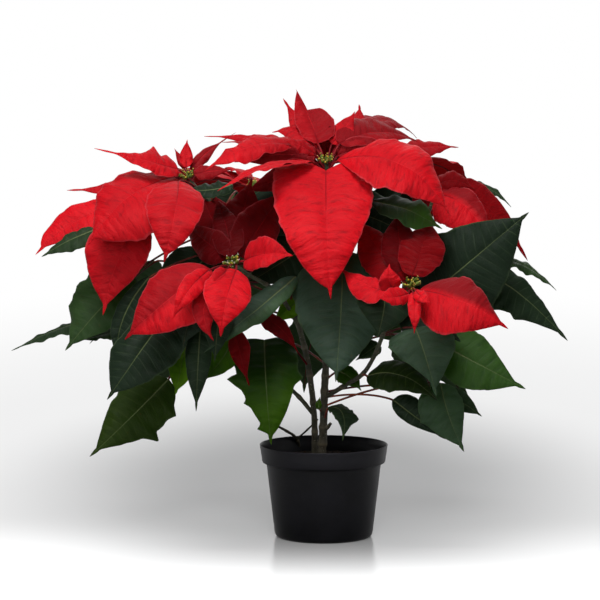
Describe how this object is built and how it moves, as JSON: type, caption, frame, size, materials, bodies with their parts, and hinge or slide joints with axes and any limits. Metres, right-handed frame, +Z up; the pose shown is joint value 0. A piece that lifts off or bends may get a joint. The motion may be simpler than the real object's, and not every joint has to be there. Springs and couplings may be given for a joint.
{
  "type": "potted poinsettia",
  "caption": "Flowering house plant in a round nursery pot: branching stems carry toothed dark green leaves and broad red bracts around small yellow-green flower cups.",
  "frame": {"origin": "centre of the pot's base, on the surface that the pot stands on", "axes": "+Z up, -Y towards the front of the plant, +X to the plant's right as it is seen from the front"},
  "size_m": [0.5624, 0.4361, 0.4489],
  "materials": {
    "pot_plastic": "satin",
    "growing_medium": "matte",
    "stem_bark": "matte",
    "flower_cup": "satin",
    "red_bract": "satin",
    "green_leaf": "satin"
  },
  "bodies": {
    "root": {"pot": "pot_plastic", "main_stem": "stem_bark", "side_stem": "stem_bark", "top_branch": "stem_bark", "low_branch": "stem_bark", "lower_left_branch": "stem_bark", "lower_right_branch": "stem_bark", "right_branch": "stem_bark", "back_branch": "stem_bark", "back_left_branch": "stem_bark", "growing_medium": "growing_medium", "top_bract_front": "red_bract", "top_bract_right": "red_bract", "top_bract_left": "red_bract", "top_bract_low_left": "red_bract", "top_bract_far_right": "red_bract", "top_bract_upper": "red_bract", "top_bract_behind": "red_bract", "left_bract_upper": "red_bract", "left_bract_outer": "red_bract", "left_bract_front": "red_bract", "left_bract_lower": "red_bract", "left_bract_far": "red_bract", "left_bract_behind": "red_bract", "low_left_bract_outer": "red_bract", "low_left_bract_front": "red_bract", "low_left_bract_right": "red_bract", "low_left_bract_upper": "red_bract", "low_right_bract_upper": "red_bract", "low_right_bract_left": "red_bract", "low_right_bract_strip": "red_bract", "low_right_bract_outer": "red_bract", "right_bract_front": "red_bract", "right_bract_outer": "red_bract", "leaf_front": "green_leaf", "leaf_under_top": "green_leaf", "leaf_right_high": "green_leaf", "leaf_right_outer": "green_leaf", "leaf_low_right_top": "green_leaf", "leaf_low_right_front": "green_leaf", "leaf_low_right_outer": "green_leaf", "leaf_low_right_dark": "green_leaf", "leaf_low_right_hanging": "green_leaf", "leaf_left_high": "green_leaf", "leaf_left_far": "green_leaf", "leaf_left_front": "green_leaf", "leaf_left_low": "green_leaf", "leaf_left_hanging": "green_leaf", "leaf_folded": "green_leaf", "leaf_low_left": "green_leaf", "leaf_by_stem": "green_leaf", "leaf_back_right": "green_leaf", "leaf_back_left": "green_leaf", "top_flower_centre": "flower_cup", "left_flower_centre": "flower_cup", "low_left_flower_centre": "flower_cup", "low_right_flower_centre": "flower_cup", "right_flower_centre": "flower_cup", "back_right_flower_head": "red_bract", "back_left_flower_head": "red_bract"}
  },
  "joints": []
}
